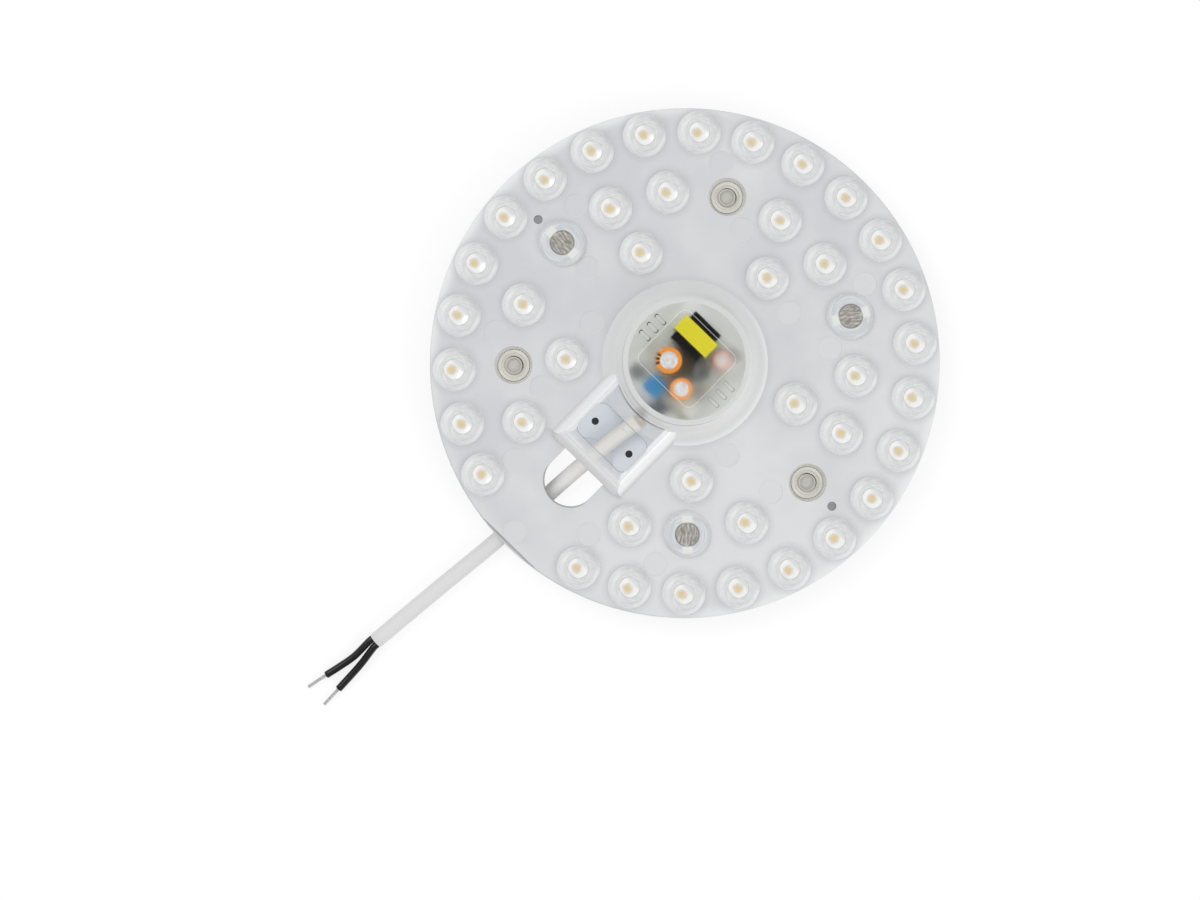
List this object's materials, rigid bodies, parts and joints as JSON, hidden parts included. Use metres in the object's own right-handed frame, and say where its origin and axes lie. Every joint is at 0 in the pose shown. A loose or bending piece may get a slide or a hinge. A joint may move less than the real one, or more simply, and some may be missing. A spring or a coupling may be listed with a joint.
{
  "type": "magnetic LED module",
  "caption": "Round LED ceiling-light module with a clear lens cover, a driver under a central dome, pot magnets below and a short two-core supply cable.",
  "frame": {"origin": "middle of the disc, on the plane of the magnet faces", "axes": "+Z out of the light side, X along the layout's axis of symmetry, with the cable leaving towards -X"},
  "size_m": [0.266, 0.18, 0.0304],
  "materials": {
    "clear_cover": "clear, finely frosted between the lenses",
    "white_mask": "white solder mask on an aluminium core",
    "led_package": "white body with yellow phosphor",
    "nickel_steel": "nickel plated",
    "magnet_nickel": "bright nickel plated",
    "driver_laminate": "white solder mask",
    "black_plastic": "moulded",
    "pin_metal": "tinned",
    "ferrite": "ground ferrite",
    "enamelled_wire": "enamelled copper",
    "yellow_tape": "polyester tape",
    "orange_sleeve": "shrunk sleeve on an aluminium can",
    "pink_sleeve": "shrunk sleeve on an aluminium can",
    "blue_epoxy": "dipped epoxy",
    "choke_ferrite": "ferrite drum in a dark sleeve",
    "resistor_lacquer": "lacquered",
    "white_sheath": "soft sheath",
    "black_insulation": "soft insulation",
    "tinned_copper": "tinned strands"
  },
  "bodies": {
    "root": {"lens_cover": "clear_cover", "led_board": "white_mask", "leds_outer_ring": "led_package", "leds_middle_ring": "led_package", "leds_inner_ring": "led_package", "magnet_pot_1": "nickel_steel", "magnet_pot_2": "nickel_steel", "magnet_pot_3": "nickel_steel", "magnet_1": "magnet_nickel", "magnet_2": "magnet_nickel", "magnet_3": "magnet_nickel", "cup_washer_1": "nickel_steel", "cup_washer_2": "nickel_steel", "cup_washer_3": "nickel_steel", "driver_board": "driver_laminate", "header_blocks": "black_plastic", "header_pins": "pin_metal", "transformer_core": "ferrite", "transformer_bobbin": "black_plastic", "transformer_winding": "enamelled_wire", "transformer_tape": "yellow_tape", "bulk_capacitor": "orange_sleeve", "output_capacitor": "orange_sleeve", "filter_capacitor": "pink_sleeve", "input_capacitor": "blue_epoxy", "drum_choke": "choke_ferrite", "bridge_rectifier": "black_plastic", "control_chip": "black_plastic", "output_diode": "black_plastic", "fuse_resistor": "resistor_lacquer", "inner_core_a": "black_insulation", "inner_core_b": "black_insulation", "cable_sheath": "white_sheath", "outer_core_a": "black_insulation", "outer_core_b": "black_insulation", "tinned_tip_a": "tinned_copper", "tinned_tip_b": "tinned_copper"}
  },
  "joints": []
}
